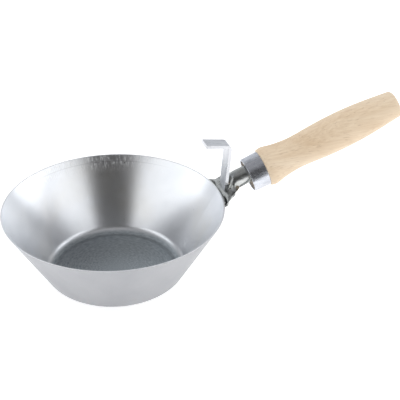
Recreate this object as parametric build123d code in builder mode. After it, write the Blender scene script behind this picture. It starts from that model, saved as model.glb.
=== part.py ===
"""Mason's throwing pan: a conical sheet-steel pan on a turned wooden handle, with a hook to hang it by.

Millimetres. The origin is the centre of the pan's flat base, +Z is up, and the handle leans out over +X.
The handle's own axis starts on the pan's rim and climbs out at handle_rise. Distances called "station" are
measured along that axis from the rim, "side" is along Y, and "lift" is square to both, away from the ground.
"""

from build123d import *
from math import atan2, cos, radians, sin, tan
import os

# Pan
rim_radius = 90.0
pan_depth = 60.0
base_radius = 55.5  # where the wall and the base would meet if the corner were sharp
pan_sheet = 1.0
corner_radius = 10.0  # of the middle of the sheet

# Handle axis
handle_rise = 19.6  # degrees above level

# Neck: one blank of sheet, rolled into a tube at the handle and fanned out at the pan
neck_sheet = 1.5
tang_end = 91.0  # station of the rolled tang's tip
tang_tip_radius = 2.6
taper_start = 31.0
tube_wrap = 165.0  # degrees that the rolled sheet turns from its crest to each edge
tube_lift = 2.6  # how far the rolled tube lies above the handle's own axis
tube_radius = 7.0
lap_sheet = 1.2
lap_root = 0.6  # how far the lap is sunk in the tube, so that the two are one piece
lap_start = 17.0
lap_end = 30.5
lap_edge_angle = 174.0  # round the tube, from +Y over the crest, of the lap's edge at the ferrule
lap_toe_angle = 234.0  # and at its toe
lap_toe = 19.0
lap_root_angle = 285.0
flange_drop = 24.0  # height of the flange that is welded to the pan
flange_half_angle = 13.0  # degrees round the pan, each side of the handle
flange_corner = 8.0

# Spot welds
nugget_radius = 2.5
nugget_bite = 0.4  # how deep a nugget reaches into the pan's sheet
nugget_dish = 0.25  # how far its face lies below the flange
nugget_angle = 7.5
nugget_heights = (42.0, 52.0)

# Hook: a flat strip, welded upright on the neck's root
hook_width = 12.0
hook_sheet = 2.8
hook_offset = 2.9  # clear distance from the rim
hook_foot = 0.9  # height of its centre line's start from the rim, inside the neck's sheet
hook_height = 40.8
hook_arm = 20.8
hook_lean = 4.5  # degrees outwards from upright
hook_bend = 85.0  # degrees that the strip turns through
hook_bend_radius = 2.5
hook_weld_radius = 1.6
hook_weld_round = 1.2
hook_weld_out = 0.5  # its centre from the foot of the hook's outer face
hook_weld_height = 7.6  # its centre above the rim

# Ferrule
ferrule_start = 27.0
ferrule_end = 41.5
ferrule_front_radius = 14.6
ferrule_back_radius = 15.1
ferrule_sheet = 1.3
ferrule_edge = 0.5

# Wooden handle
spigot_start = 31.0
shoulder_radius = 16.3  # of the wood, just behind the ferrule
shoulder_round = 1.5
bead = (45.5, 16.75)  # station and radius of the swell behind the shoulder
grip = [(52.2, 15.65), (60.0, 14.35), (70.5, 13.6), (88.0, 14.5), (110.0, 15.4), (135.0, 14.7), (157.0, 12.6)]
end_corner = (166.6, 11.6)
handle_end = 169.0
end_round = 3.0
bore_clearance = 0.05
bore_end = 93.0

os.makedirs("parts", exist_ok=True)

rise = radians(handle_rise)
along = Vector(cos(rise), 0, sin(rise))
handle_origin = Vector(rim_radius, 0, pan_depth)
handle_axis = Axis(handle_origin, along)
turning_plane = Plane(origin=handle_origin, x_dir=along, z_dir=(0, -1, 0))  # x is station, y is lift


def station_plane(station):
    """The plane square to the handle's axis at a station: its x is side and its y is lift."""
    return Plane(origin=handle_origin + along * station, x_dir=(0, 1, 0), z_dir=along)


def save(part, name):
    part.label = name
    export_step(part, f"parts/{name}.step")


# ---------------------------------------------------------------- pan
wall_slope = atan2(pan_depth, rim_radius - base_radius)  # the wall's angle above level
wall_up = Vector(cos(wall_slope), sin(wall_slope))  # in the XZ profile
wall_out = Vector(sin(wall_slope), -cos(wall_slope))
half_sheet = pan_sheet / 2
mid_corner = base_radius - half_sheet * tan(wall_slope / 2)
past_rim = 3.0
mid_top = Vector(rim_radius, pan_depth) - wall_out * half_sheet + wall_up * past_rim

nugget_length = neck_sheet - nugget_dish + nugget_bite


def nugget_planes():
    """Planes at each spot weld, on the bottom of its bite in the pan's sheet, facing out of the wall."""
    for height in nugget_heights:
        radius = base_radius + height / tan(wall_slope)
        for angle in (-nugget_angle, nugget_angle):
            outward = Vector(wall_out.X, 0, wall_out.Y)
            start = Vector(radius, 0, height) - outward * nugget_bite
            yield Plane(origin=start.rotate(Axis.Z, angle), z_dir=outward.rotate(Axis.Z, angle))


with BuildPart() as pan:
    with BuildSketch(Plane.XZ):
        with BuildLine():
            FilletPolyline(
                (0, half_sheet), (mid_corner, half_sheet), (mid_top.X, mid_top.Y), radius=corner_radius
            )
        trace(line_width=pan_sheet)
    revolve(axis=Axis.Z)
    split(bisect_by=Plane.XY.offset(pan_depth), keep=Keep.BOTTOM)
    for plane in nugget_planes():
        with BuildSketch(plane):
            Circle(nugget_radius)
        extrude(amount=2 * nugget_bite, mode=Mode.SUBTRACT)
save(pan.part, "pan")

# ---------------------------------------------------------------- neck bracket
# Sections of half of the sheet's outer face, from its crest to its edge, evenly spaced from the pan to the tip
# of the tang: station, lift of the crest, half width of the sheet, and its slope in degrees where it is steepest
# and at its edge, with the share of the half width at which it is steepest.
tube_crest = tube_lift + tube_radius
tube_half_width = tube_radius * radians(tube_wrap)
section_pitch = 5.0
fan_sections = [
    (-4.0, -1.6, 20.6, 3.0, 0.0, 0.5),
    (1.0, -1.1, 20.2, 2.0, -1.0, 0.4),
    (6.0, 1.2, 17.0, 12.0, -5.0, 0.35),
    (11.0, 7.0, 15.8, 60.0, 0.0, 0.45),
    (16.0, 9.5, 16.8, 108.0, 80.0, 0.75),
    (taper_start - 2 * section_pitch, tube_crest, tube_half_width, tube_wrap, tube_wrap, 1.0),
    (taper_start - section_pitch, tube_crest, tube_half_width, tube_wrap, tube_wrap, 1.0),
]
tang_steps = 12
half_points = 8
steps_to_point = 12


def tang_section(share):
    """The rolled tang, tapering from the ferrule's mouth (share 0) to its tip (share 1)."""
    station = taper_start + share * (tang_end - taper_start)
    radius = tube_radius + share * (tang_tip_radius - tube_radius)
    return station, tube_lift + radius, radius * radians(tube_wrap), tube_wrap, tube_wrap, 1.0


def half_section(crest, half_width, steepest, edge_slope, steepest_share):
    """Side and lift of points along half of a section, found by following its slope from the crest."""
    side, lift = 0.0, crest
    points = [(side, lift)]
    steps = half_points * steps_to_point
    for step in range(steps):
        share = (step + 0.5) / steps
        past = max(0.0, share - steepest_share) / max(1.0 - steepest_share, 1 / steps)
        slope = steepest * min(1.0, share / steepest_share) + past * (edge_slope - steepest)
        side += cos(radians(slope)) * half_width / steps
        lift -= sin(radians(slope)) * half_width / steps
        if (step + 1) % steps_to_point == 0:
            points.append((side, lift))
    return points


def section_points(station, *shape):
    """The whole section at a station, from the edge on the -Y side to the edge on the +Y side."""
    half = half_section(*shape)
    whole = [(-side, lift) for side, lift in reversed(half[1:])] + half
    return [station_plane(station).from_local_coords(point) for point in whole]


neck_sections = fan_sections + [tang_section(step / tang_steps) for step in range(tang_steps + 1)]
neck_points = [section_points(*section) for section in neck_sections]

with BuildPart() as pan_room:  # the space the pan takes up, and the air above its rim
    with BuildSketch(Plane.XZ):
        with BuildLine():
            Polyline(
                (0, 0),
                (base_radius, 0),
                (rim_radius, pan_depth),
                (rim_radius, 2 * pan_depth),
                (0, 2 * pan_depth),
                close=True,
            )
        make_face()
    revolve(axis=Axis.Z)

with BuildPart() as flange:  # hugs the pan's wall, with its lower corners rounded
    first_side = Plane(
        origin=(0, 0, 0),
        x_dir=Vector(1, 0, 0).rotate(Axis.Z, -flange_half_angle),
        z_dir=Vector(0, -1, 0).rotate(Axis.Z, -flange_half_angle),
    )
    with BuildSketch(first_side):
        with BuildLine():
            top = Vector(rim_radius, pan_depth)
            bottom = top - wall_up * (flange_drop / wall_up.Y)
            thickness = wall_out * neck_sheet
            corners = [bottom, top, top + thickness, bottom + thickness]
            Polyline(*[(corner.X, corner.Y) for corner in corners], close=True)
        make_face()
    revolve(axis=Axis.Z, revolution_arc=2 * flange_half_angle)
    lower_edges = flange.edges().filter_by(lambda edge: abs(edge.length - neck_sheet) < 0.01).group_by(Axis.Z)[0]
    fillet(lower_edges, radius=flange_corner)


def tube_point(station, angle, radius):
    """A point round the rolled tube's centre, at an angle from +Y over the crest."""
    side = radius * cos(radians(angle))
    lift = tube_lift + radius * sin(radians(angle))
    return station_plane(station).from_local_coords((side, lift))


with BuildPart() as lap:  # the blank's far edge, wrapped under the tube and up its near side
    with BuildSketch(station_plane(lap_start)):
        with BuildLine():
            lap_arc = lap_root_angle - lap_edge_angle
            outer = CenterArc((0, tube_lift), tube_radius + lap_sheet, lap_edge_angle, lap_arc)
            inner = CenterArc((0, tube_lift), tube_radius - lap_root, lap_edge_angle, lap_arc)
            Line(outer @ 0, inner @ 0)
            Line(outer @ 1, inner @ 1)
        make_face()
    extrude(amount=lap_end - lap_start)
    edge_start = tube_point(lap_end, lap_edge_angle, tube_radius)
    edge_run = tube_point(lap_toe, lap_toe_angle, tube_radius) - edge_start
    middle = (lap_edge_angle + lap_toe_angle) / 2
    outward = tube_point(lap_start, middle, tube_radius) - tube_point(lap_start, middle, 0)
    split(bisect_by=Plane(origin=edge_start, z_dir=outward.cross(edge_run)), keep=Keep.TOP)

with BuildPart() as neck_bracket:
    thicken(Face.make_surface_from_array_of_points(neck_points), amount=-neck_sheet)
    add(flange.part)
    add(lap.part)
    add(pan_room.part, mode=Mode.SUBTRACT)
    for plane in nugget_planes():
        with BuildSketch(plane):
            Circle(nugget_radius)
        extrude(amount=2 * nugget_length, mode=Mode.SUBTRACT)
save(neck_bracket.part, "neck_bracket")

# ---------------------------------------------------------------- spot welds
with BuildPart() as spot_welds:
    for plane in nugget_planes():
        with BuildSketch(plane):
            Circle(nugget_radius)
        extrude(amount=nugget_length)
save(spot_welds.part, "spot_welds")

# ---------------------------------------------------------------- hanging hook
shank = Vector(sin(radians(hook_lean)), cos(radians(hook_lean)))
arm = shank.rotate(Axis.Z, hook_bend)
foot = Vector(rim_radius + hook_offset + hook_sheet / 2, pan_depth + hook_foot)
elbow = foot + shank * hook_height
tip = elbow + arm * hook_arm

with BuildPart() as hanging_hook:
    with BuildSketch(Plane.XZ):
        with BuildLine():
            FilletPolyline((foot.X, foot.Y), (elbow.X, elbow.Y), (tip.X, tip.Y), radius=hook_bend_radius)
        trace(line_width=hook_sheet)
    extrude(amount=hook_width / 2, both=True)
    add(neck_bracket.part, mode=Mode.SUBTRACT)
save(hanging_hook.part, "hanging_hook")

# ---------------------------------------------------------------- hook weld
with BuildPart() as hook_weld:  # a bead in the corner between the hook and the neck, on the handle's side
    with BuildSketch(Plane.XZ):
        weld_x = rim_radius + hook_offset + hook_sheet + hook_weld_out
        with Locations((weld_x, pan_depth + hook_weld_height)):
            Circle(hook_weld_radius)
    extrude(amount=hook_width / 2, both=True)
    fillet(hook_weld.edges().filter_by(GeomType.CIRCLE), radius=hook_weld_round)
    add(hanging_hook.part, mode=Mode.SUBTRACT)
    add(neck_bracket.part, mode=Mode.SUBTRACT)
save(hook_weld.part, "hook_weld")


# ---------------------------------------------------------------- ferrule
def ferrule_radius(station):
    """The ferrule's outer radius at a station."""
    share = (station - ferrule_start) / (ferrule_end - ferrule_start)
    return ferrule_front_radius + share * (ferrule_back_radius - ferrule_front_radius)


def ferrule_bore(station):
    """The ferrule's inner radius at a station."""
    return ferrule_radius(station) - ferrule_sheet


with BuildPart() as ferrule:
    with BuildSketch(turning_plane):
        with BuildLine():
            Polyline(
                (ferrule_start, ferrule_bore(ferrule_start)),
                (ferrule_start, ferrule_front_radius),
                (ferrule_end, ferrule_back_radius),
                (ferrule_end, ferrule_bore(ferrule_end)),
                close=True,
            )
        make_face()
    revolve(axis=handle_axis)
    mouth_edges = ferrule.edges().filter_by(GeomType.CIRCLE).sort_by(Axis.X)[:2]
    fillet(mouth_edges, radius=ferrule_edge)
save(ferrule.part, "ferrule")

# ---------------------------------------------------------------- wooden handle
tang_axis = Axis(handle_origin + station_plane(0).y_dir * tube_lift, along)

with BuildPart() as tang_bore:
    with BuildSketch(turning_plane):
        with BuildLine():
            Polyline(
                (spigot_start, tube_lift),
                (spigot_start, tube_lift + tube_radius + bore_clearance),
                (tang_end, tube_lift + tang_tip_radius + bore_clearance),
                (bore_end, tube_lift),
                close=True,
            )
        make_face()
    revolve(axis=tang_axis)

with BuildPart() as handle:
    with BuildSketch(turning_plane):
        with BuildLine():
            spigot = Polyline(
                (spigot_start, 0),
                (spigot_start, ferrule_bore(spigot_start)),
                (ferrule_end, ferrule_bore(ferrule_end)),
                (ferrule_end, shoulder_radius - shoulder_round),
            )
            shoulder = TangentArc(spigot @ 1, (ferrule_end + shoulder_round, shoulder_radius), tangent=(0, 1))
            grip_side = Spline(shoulder @ 1, bead, *grip, end_corner)
            TangentArc((handle_end, 0), grip_side @ 1, tangent=(0, 1))
            Line((handle_end, 0), spigot @ 0)
        make_face()
    revolve(axis=handle_axis)
    fillet(handle.edges().filter_by(GeomType.CIRCLE).sort_by(Axis.X)[-1], radius=end_round)
    add(tang_bore.part, mode=Mode.SUBTRACT)
save(handle.part, "handle")
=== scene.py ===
"""Mason's throwing pan: the looks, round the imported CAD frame. Metres, in the row's own frame.

The pan's flat base stands on z = 0 at the origin and the handle leans out over +X.
"""

import math

import bpy
from mathutils import Matrix, Vector

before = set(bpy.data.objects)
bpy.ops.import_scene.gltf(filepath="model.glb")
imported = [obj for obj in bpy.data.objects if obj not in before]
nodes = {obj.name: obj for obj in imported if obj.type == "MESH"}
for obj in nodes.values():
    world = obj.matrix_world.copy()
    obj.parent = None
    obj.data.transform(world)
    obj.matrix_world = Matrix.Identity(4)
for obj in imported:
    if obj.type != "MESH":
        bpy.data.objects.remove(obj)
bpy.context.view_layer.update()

# ---------------------------------------------------------------- camera
VIEW_AZIMUTH = math.radians(19.0)  # of the camera's axis, round from +Y towards +X
VIEW_ELEVATION = math.radians(31.2)
VIEW_DISTANCE = 0.799
VIEW_TARGET = Vector((0.0671, -0.0195, 0.0655))
VIEW_ROLL = math.radians(0.5)
LENS_MM = 89.2
SENSOR_MM = 36.0


def make_camera():
    forward = Vector(
        (
            math.sin(VIEW_AZIMUTH) * math.cos(VIEW_ELEVATION),
            math.cos(VIEW_AZIMUTH) * math.cos(VIEW_ELEVATION),
            -math.sin(VIEW_ELEVATION),
        )
    )
    level = forward.cross(Vector((0, 0, 1))).normalized()
    above = level.cross(forward)
    right = level * math.cos(VIEW_ROLL) + above * math.sin(VIEW_ROLL)
    up = above * math.cos(VIEW_ROLL) - level * math.sin(VIEW_ROLL)
    data = bpy.data.cameras.new("camera")
    data.lens = LENS_MM
    data.sensor_width = SENSOR_MM
    data.clip_start = 0.01
    camera = bpy.data.objects.new("camera", data)
    bpy.context.scene.collection.objects.link(camera)
    turn = Matrix((right, up, -forward)).transposed().to_4x4()
    camera.matrix_world = Matrix.Translation(VIEW_TARGET - forward * VIEW_DISTANCE) @ turn
    bpy.context.scene.camera = camera


# ---------------------------------------------------------------- surfaces
EDGE_RADIUS = 0.0004  # how far the metal's edges are eased in the shading
BUMP_HEIGHT = 0.0002
HANDLE_RISE = math.radians(19.6)

# Marks, painted shade and a painted highlight on the pan, by height above its base (z), distance towards the
# back (y) and distance from its axis
RIM_MARKS_START, RIM_MARKS_END = 0.046, 0.054
BACK_MARKS_START, BACK_MARKS_END = 0.06, 0.08
FLOOR_MARKS_START, FLOOR_MARKS_END = 0.0015, 0.004
FLOOR_RADIUS = 0.0495
# painted shade: a dark ring round the floor's edge, where it meets the wall, is this wide
FLOOR_SHADE_RING_WIDTH = 0.003
FLOOR_SHADE_REACH = 0.04  # painted shade: the floor's colour rises from dark this far on -X to light this far on +X
SCORE_HEIGHT = 0.055
SCORE_WIDTH = 0.0005
SCORE_START, SCORE_END = 0.05, 0.08
LIP_HEIGHT = 0.0599  # above this is the cut edge of the sheet, painted lighter as a highlight
WORN_REACH = -0.05  # y at which the wall is fully dulled
OUTER_TILT = -0.03  # tips the outward test so that the underside counts as outside
STREAKS_AROUND = 12.0  # how far the angle round the pan, in radians, is stretched for the streaks


# ---------------------------------------------------------------- node helpers
class Nodes:
    """Adds nodes to a material or world and joins them up."""

    def __init__(self, owner):
        owner.use_nodes = True
        self.tree = owner.node_tree
        self.tree.nodes.clear()

    def add(self, kind, inputs=None, **settings):
        node = self.tree.nodes.new(kind)
        for name, value in settings.items():
            setattr(node, name, value)
        for name, value in (inputs or {}).items():
            self.put(node.inputs[name], value)
        return node

    def put(self, socket, value):
        if isinstance(value, bpy.types.NodeSocket):
            self.tree.links.new(value, socket)
        else:
            socket.default_value = value

    def math(self, operation, a, b=0.0):
        return self.add("ShaderNodeMath", {0: a, 1: b}, operation=operation).outputs[0]

    def vector_math(self, operation, a, b=(0.0, 0.0, 0.0)):
        """The number that a vector operation gives, such as a length or a dot product."""
        return self.add("ShaderNodeVectorMath", {0: a, 1: b}, operation=operation).outputs["Value"]

    def stretched(self, vector, turn, scale):
        """Coordinates turned about Y and scaled, for a pattern that runs along the handle or a strip."""
        inputs = {"Vector": vector, "Rotation": (0.0, turn, 0.0), "Scale": scale}
        return self.add("ShaderNodeMapping", inputs).outputs[0]

    def combine(self, x, y, z):
        return self.add("ShaderNodeCombineXYZ", {0: x, 1: y, 2: z}).outputs[0]

    def noise(self, vector, scale, detail=3.0, roughness=0.5, distortion=0.0):
        inputs = {
            "Vector": vector,
            "Scale": scale,
            "Detail": detail,
            "Roughness": roughness,
            "Distortion": distortion,
        }
        return self.add("ShaderNodeTexNoise", inputs).outputs[0]

    def ramp(self, factor, *stops):
        """Colours or grey levels along a factor, from (place, colour or level) pairs."""
        node = self.add("ShaderNodeValToRGB", {0: factor})
        stretch = node.color_ramp.elements
        while len(stretch) < len(stops):
            stretch.new(0.5)
        for element, (place, value) in zip(stretch, stops):
            element.position = place
            element.color = (*value, 1) if isinstance(value, tuple) else (value, value, value, 1)
        return node.outputs[0]

    def mix(self, factor, a, b):
        node = self.add("ShaderNodeMix", data_type="RGBA")
        for socket, value in ((node.inputs[0], factor), (node.inputs[6], a), (node.inputs[7], b)):
            self.put(socket, (*value, 1) if isinstance(value, tuple) else value)
        return node.outputs[2]

    def remap(self, value, low, high):
        """A 0 to 1 value stretched to low to high."""
        return self.add("ShaderNodeMapRange", {"Value": value, "To Min": low, "To Max": high}).outputs[0]

    def ease(self, value, start, end):
        """0 at the start rising smoothly to 1 at the end."""
        inputs = {"Value": value, "From Min": start, "From Max": end}
        return self.add("ShaderNodeMapRange", inputs, interpolation_type="SMOOTHSTEP").outputs[0]

    def bump(self, height, strength, distance, normal=None):
        inputs = {"Height": height, "Strength": strength, "Distance": distance}
        if normal is not None:
            inputs["Normal"] = normal
        return self.add("ShaderNodeBump", inputs).outputs[0]


def steel(tree, colour, roughness, height, relief=0.25):
    """Ends a bare metal's tree; its edges are eased in the shading."""
    eased = tree.add("ShaderNodeBevel", {"Radius": EDGE_RADIUS}, samples=4).outputs[0]
    normal = tree.bump(height, relief, BUMP_HEIGHT, eased)
    shader = tree.add(
        "ShaderNodeBsdfPrincipled",
        {"Base Color": colour, "Metallic": 1.0, "Roughness": roughness, "Normal": normal},
    )
    tree.add("ShaderNodeOutputMaterial", {"Surface": shader.outputs[0]})


def start(name):
    """A new material's tree and the object's own coordinates in it."""
    material = bpy.data.materials.new(name)
    tree = Nodes(material)
    return material, tree, tree.add("ShaderNodeTexCoord").outputs["Object"]


def pan_steel():
    """Drawn sheet: spun marks on the floor, scratches drawn up the wall and a scored line under the rim;
    painted shade on the outside, on the floor's -X side and in a ring round the floor's edge, and a painted
    highlight on the cut edge.
    """
    material, tree, place = start("pan_steel")
    x, y, z = tree.add("ShaderNodeSeparateXYZ", {0: place}).outputs
    radius = tree.vector_math("LENGTH", tree.combine(x, y, 0.0))
    around = tree.math("MULTIPLY", tree.math("ARCTAN2", y, x), STREAKS_AROUND)

    facing = tree.add("ShaderNodeNewGeometry").outputs["Normal"]
    outward = tree.vector_math("DOT_PRODUCT", facing, tree.combine(x, y, OUTER_TILT))
    outside = tree.math("GREATER_THAN", outward, 0.0)

    clouds = tree.noise(place, 16.0, 3.0, 0.55, 0.4)
    mottle = tree.noise(place, 160.0, 3.0, 0.6)
    drawn = tree.noise(tree.combine(around, tree.math("MULTIPLY", z, 14.0), 0.0), 9.0, 4.0, 0.65)
    spun = tree.noise(tree.combine(tree.math("MULTIPLY", radius, 900.0), around, 0.0), 0.8, 3.0)
    scratch = tree.noise(tree.combine(around, tree.math("MULTIPLY", z, 20.0), 0.0), 9.0, 2.0, 0.6)

    below_rim = tree.ease(z, RIM_MARKS_START, RIM_MARKS_END)
    near_rim = tree.math("MULTIPLY", below_rim, tree.ease(y, BACK_MARKS_START, BACK_MARKS_END))
    scratched = tree.math("MULTIPLY", near_rim, tree.ramp(scratch, (0.54, 0.0), (0.60, 1.0)))
    line = tree.ease(tree.math("ABSOLUTE", tree.math("SUBTRACT", z, SCORE_HEIGHT)), SCORE_WIDTH, 0.0)
    score = tree.math("MULTIPLY", line, tree.ease(y, SCORE_START, SCORE_END))
    on_floor = tree.ease(z, FLOOR_MARKS_END, FLOOR_MARKS_START)
    from_edge = tree.math("ABSOLUTE", tree.math("SUBTRACT", radius, FLOOR_RADIUS))
    crease_shade = tree.ease(from_edge, FLOOR_SHADE_RING_WIDTH, 0.0)
    lip_highlight = tree.math("GREATER_THAN", z, LIP_HEIGHT)

    wall_tones = (0.3, (0.74, 0.76, 0.79)), (0.52, (0.82, 0.835, 0.86)), (0.75, (0.81, 0.805, 0.79))
    wall = tree.ramp(clouds, *wall_tones)
    # painted shade: the floor is coloured darker on -X and lighter on +X
    shaded_floor = tree.ramp(spun, (0.3, (0.20, 0.22, 0.235)), (0.7, (0.34, 0.365, 0.385)))
    lit_floor = tree.ramp(spun, (0.3, (0.32, 0.36, 0.385)), (0.7, (0.50, 0.545, 0.57)))
    floor = tree.mix(tree.ease(x, -FLOOR_SHADE_REACH, FLOOR_SHADE_REACH), shaded_floor, lit_floor)
    inside = tree.mix(on_floor, wall, floor)
    # painted shade: a dark ring is mixed in round the floor's edge
    inside = tree.mix(tree.math("MULTIPLY", crease_shade, 0.45), inside, (0.16, 0.17, 0.18))
    inside = tree.mix(tree.math("MULTIPLY", scratched, 0.9), inside, (1.0, 1.0, 1.0))
    # painted shade: the outside of the sheet is coloured darker than the inside
    shaded_outside_colour = tree.ramp(clouds, (0.3, (0.43, 0.435, 0.455)), (0.7, (0.49, 0.495, 0.51)))
    colour = tree.mix(outside, inside, shaded_outside_colour)
    colour = tree.mix(tree.math("MULTIPLY", score, 0.25), colour, (0.30, 0.30, 0.30))
    # painted highlight: the cut edge is coloured near white
    colour = tree.mix(lip_highlight, colour, (0.93, 0.94, 0.95))

    texture = tree.math("ADD", tree.math("MULTIPLY", drawn, 0.5), tree.math("MULTIPLY", mottle, 0.5))
    worn = tree.math("MULTIPLY", tree.ease(y, 0.0, WORN_REACH), 0.14)
    polish = tree.math("ADD", tree.remap(texture, 0.22, 0.38), worn)
    polish = tree.math("ADD", polish, tree.math("MULTIPLY", scratched, 0.22))
    roughness = tree.math("ADD", polish, tree.math("MULTIPLY", outside, 0.14))
    height = tree.math("ADD", texture, tree.math("MULTIPLY", tree.math("ADD", scratched, score), 0.8))
    steel(tree, colour, roughness, height, 0.07)
    return material


def brushed_steel(name, dark, light, smooth, rough, stretch, turn):
    """Ground sheet: fine lines along one direction over soft clouds."""
    material, tree, place = start(name)
    lines = tree.noise(tree.stretched(place, turn, stretch), 1.0, 4.0, 0.6)
    clouds = tree.noise(place, 90.0, 3.0, 0.6)
    blend = tree.math("ADD", tree.math("MULTIPLY", lines, 0.55), tree.math("MULTIPLY", clouds, 0.45))
    colour = tree.ramp(blend, (0.35, dark), (0.65, light))
    steel(tree, colour, tree.remap(blend, smooth, rough), blend)
    return material


def weld_metal():
    """Fused metal: heat-tinted, a little rough, with ripples."""
    material, tree, place = start("weld_metal")
    waves = {"Vector": place, "Scale": 220.0, "Distortion": 3.0, "Detail": 2.0}
    ripples = tree.add("ShaderNodeTexWave", waves).outputs[1]
    tint = tree.noise(place, 300.0, 3.0, 0.6)
    colour = tree.ramp(tint, (0.3, (0.36, 0.32, 0.28)), (0.5, (0.52, 0.50, 0.48)), (0.7, (0.40, 0.43, 0.50)))
    steel(tree, colour, tree.remap(tint, 0.34, 0.5), ripples)
    return material


def wood():
    """Turned beech: fine grain along the handle, short dark flecks and a thin sheen."""
    material, tree, place = start("turned_beech")
    grain = tree.stretched(place, HANDLE_RISE, (4.0, 170.0, 170.0))
    bands = tree.stretched(place, HANDLE_RISE, (5.0, 34.0, 34.0))
    pores = tree.stretched(place, HANDLE_RISE, (110.0, 900.0, 900.0))
    fibres = tree.noise(grain, 4.0, 5.0, 0.65, 0.2)
    rings = tree.noise(bands, 1.6, 3.0, 0.5, 0.6)
    flecks = tree.ramp(tree.noise(pores, 1.0, 2.0, 0.5), (0.62, 0.0), (0.70, 1.0))
    ring_tones = (0.3, (0.65, 0.485, 0.315)), (0.52, (0.735, 0.585, 0.415)), (0.72, (0.785, 0.665, 0.505))
    fibre_tones = (0.35, (0.60, 0.42, 0.26)), (0.65, (0.86, 0.72, 0.55))
    colour = tree.mix(0.35, tree.ramp(rings, *ring_tones), tree.ramp(fibres, *fibre_tones))
    colour = tree.mix(tree.math("MULTIPLY", flecks, 0.4), colour, (0.42, 0.27, 0.15))
    height = tree.math("SUBTRACT", fibres, flecks)
    shader = tree.add(
        "ShaderNodeBsdfPrincipled",
        {
            "Base Color": colour,
            "Roughness": tree.remap(fibres, 0.42, 0.58),
            "Normal": tree.bump(height, 0.25, BUMP_HEIGHT),
            "Coat Weight": 0.15,
            "Coat Roughness": 0.3,
        },
    )
    tree.add("ShaderNodeOutputMaterial", {"Surface": shader.outputs[0]})
    return material


# ---------------------------------------------------------------- studio
LEFT_PANEL_ANGLE = math.radians(67.0)  # of its middle from the camera's line of sight
RIGHT_PANEL_ANGLE = math.radians(79.0)
PANEL_DISTANCE = 1.1
PANEL_WIDTH = 2.1
PANEL_HEIGHT = 1.0
PANEL_RADIANCE = 1.2
PANEL_TINT = (0.97, 0.985, 1.0)
WALLS_START, WALLS_END = -0.6, 0.5  # cosine of the direction from straight behind, from dark to bright
CEILING_START, CEILING_END = 0.55, 0.95  # height of the direction at which the ceiling takes over
FRONT_RADIANCE = (0.06, 0.058, 0.056)
BACK_RADIANCE = (0.74, 0.76, 0.79)
TOP_RADIANCE = (0.40, 0.40, 0.41)
FLOOR_HALF = 4.0
FLOOR_GLOW = 0.60
OVERHEAD_SIZE = 1.0
OVERHEAD_HEIGHT = 1.3
OVERHEAD_RADIANCE = 2.4
FLAG_AZIMUTH = math.radians(10.0)  # of the dark card in front, measured like the view's
FLAG_DISTANCE = 0.2
FLAG_HEIGHT = 0.072
FLAG_LEFT, FLAG_RIGHT = 0.10, 0.22  # how far it reaches to each side


def make_world():
    """A pale room: dark towards the camera, bright behind the object and dim overhead."""
    world = bpy.data.worlds.new("studio")
    bpy.context.scene.world = world
    tree = Nodes(world)
    towards = tree.add("ShaderNodeTexCoord").outputs["Generated"]
    away = tree.combine(math.sin(VIEW_AZIMUTH), math.cos(VIEW_AZIMUTH), 0.0)
    behind = tree.vector_math("DOT_PRODUCT", towards, away)
    height = tree.add("ShaderNodeSeparateXYZ", {0: towards}).outputs[2]
    walls = tree.mix(tree.ease(behind, WALLS_START, WALLS_END), FRONT_RADIANCE, BACK_RADIANCE)
    room = tree.mix(tree.ease(height, CEILING_START, CEILING_END), walls, TOP_RADIANCE)
    background = tree.add("ShaderNodeBackground", {"Color": room, "Strength": 1.0})
    tree.add("ShaderNodeOutputWorld", {"Surface": background.outputs[0]})


def make_panel(name, angle):
    """A broad soft panel on the floor, turned by an angle to the right of the camera's line of sight."""
    turn = VIEW_AZIMUTH + math.pi - angle
    outward = Vector((math.sin(turn), math.cos(turn), 0))
    data = bpy.data.lights.new(name, "AREA")
    data.shape = "RECTANGLE"
    data.size, data.size_y = PANEL_WIDTH, PANEL_HEIGHT
    data.energy = PANEL_RADIANCE * math.pi * PANEL_WIDTH * PANEL_HEIGHT
    data.color = PANEL_TINT
    panel = bpy.data.objects.new(name, data)
    bpy.context.scene.collection.objects.link(panel)
    panel.location = outward * PANEL_DISTANCE + Vector((0, 0, PANEL_HEIGHT / 2))
    panel.rotation_euler = outward.to_track_quat("Z", "Y").to_euler()


def make_overhead():
    """A soft light from above, kept out of reflections."""
    data = bpy.data.lights.new("overhead", "AREA")
    data.size = OVERHEAD_SIZE
    data.energy = OVERHEAD_RADIANCE * math.pi * OVERHEAD_SIZE**2
    overhead = bpy.data.objects.new("overhead", data)
    bpy.context.scene.collection.objects.link(overhead)
    overhead.location = (0.0, 0.0, OVERHEAD_HEIGHT)
    overhead.visible_glossy = False


def make_flag():
    """A low dark card in front, seen only in reflections."""
    front = Vector((-math.sin(FLAG_AZIMUTH), -math.cos(FLAG_AZIMUTH), 0))
    right = Vector((-front.y, front.x, 0))
    up = Vector((0, 0, FLAG_HEIGHT))
    left_foot = front * FLAG_DISTANCE - right * FLAG_LEFT
    right_foot = front * FLAG_DISTANCE + right * FLAG_RIGHT
    mesh = bpy.data.meshes.new("flag")
    mesh.from_pydata([left_foot, right_foot, right_foot + up, left_foot + up], [], [(0, 1, 2, 3)])
    flag = bpy.data.objects.new("flag", mesh)
    bpy.context.scene.collection.objects.link(flag)
    flag.visible_camera = flag.visible_diffuse = flag.visible_shadow = flag.visible_transmission = False
    material, tree, place = start("flag")
    felt = tree.ramp(tree.noise(place, 60.0), (0.3, 0.03), (0.7, 0.05))
    shader = tree.add("ShaderNodeBsdfPrincipled", {"Base Color": felt, "Roughness": 0.95})
    tree.add("ShaderNodeOutputMaterial", {"Surface": shader.outputs[0]})
    mesh.materials.append(material)


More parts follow.
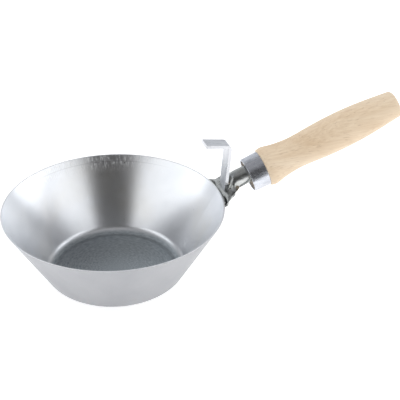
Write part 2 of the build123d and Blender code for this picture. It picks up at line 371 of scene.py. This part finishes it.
def make_floor():
    """A pale floor that glows a little, so that it stays white round the object."""
    mesh = bpy.data.meshes.new("floor")
    corners = [(FLOOR_HALF * x, FLOOR_HALF * y, 0) for x, y in ((-1, -1), (1, -1), (1, 1), (-1, 1))]
    mesh.from_pydata(corners, [], [(0, 1, 2, 3)])
    floor = bpy.data.objects.new("floor", mesh)
    bpy.context.scene.collection.objects.link(floor)
    material, tree, place = start("floor")
    cloth = tree.noise(place, 9.0, 4.0, 0.6)
    shader = tree.add(
        "ShaderNodeBsdfPrincipled",
        {
            "Base Color": tree.ramp(cloth, (0.3, 0.88), (0.7, 0.92)),
            "Roughness": 0.9,
            "Emission Color": (1, 1, 1, 1),
            "Emission Strength": FLOOR_GLOW,
        },
    )
    tree.add("ShaderNodeOutputMaterial", {"Surface": shader.outputs[0]})
    mesh.materials.append(material)


def dress(node, material):
    """Gives a CAD node its only material."""
    nodes[node].data.materials.clear()
    nodes[node].data.materials.append(material)


make_camera()
make_world()
make_floor()
make_panel("left_panel", -LEFT_PANEL_ANGLE)
make_panel("right_panel", RIGHT_PANEL_ANGLE)
make_overhead()
make_flag()
dress("pan", pan_steel())
# painted shade: the neck's colours are darker than the hook's and ferrule's steel
neck_shaded_tones = (0.38, 0.39, 0.37), (0.56, 0.575, 0.57)
hook_tones = (0.55, 0.56, 0.585), (0.74, 0.75, 0.775)
ferrule_tones = (0.50, 0.52, 0.57), (0.70, 0.72, 0.77)
neck_steel = brushed_steel("neck_steel", *neck_shaded_tones, 0.22, 0.34, (60.0, 500.0, 500.0), HANDLE_RISE)
hook_steel = brushed_steel("hook_steel", *hook_tones, 0.22, 0.34, (60.0, 700.0, 60.0), 0.0)
ferrule_steel = brushed_steel("ferrule_steel", *ferrule_tones, 0.2, 0.34, (60.0, 600.0, 600.0), HANDLE_RISE)
dress("neck_bracket", neck_steel)
dress("hanging_hook", hook_steel)
dress("ferrule", ferrule_steel)
weld = weld_metal()
dress("spot_welds", weld)
dress("hook_weld", weld)
dress("handle", wood())
bpy.context.scene.view_settings.view_transform = "Standard"
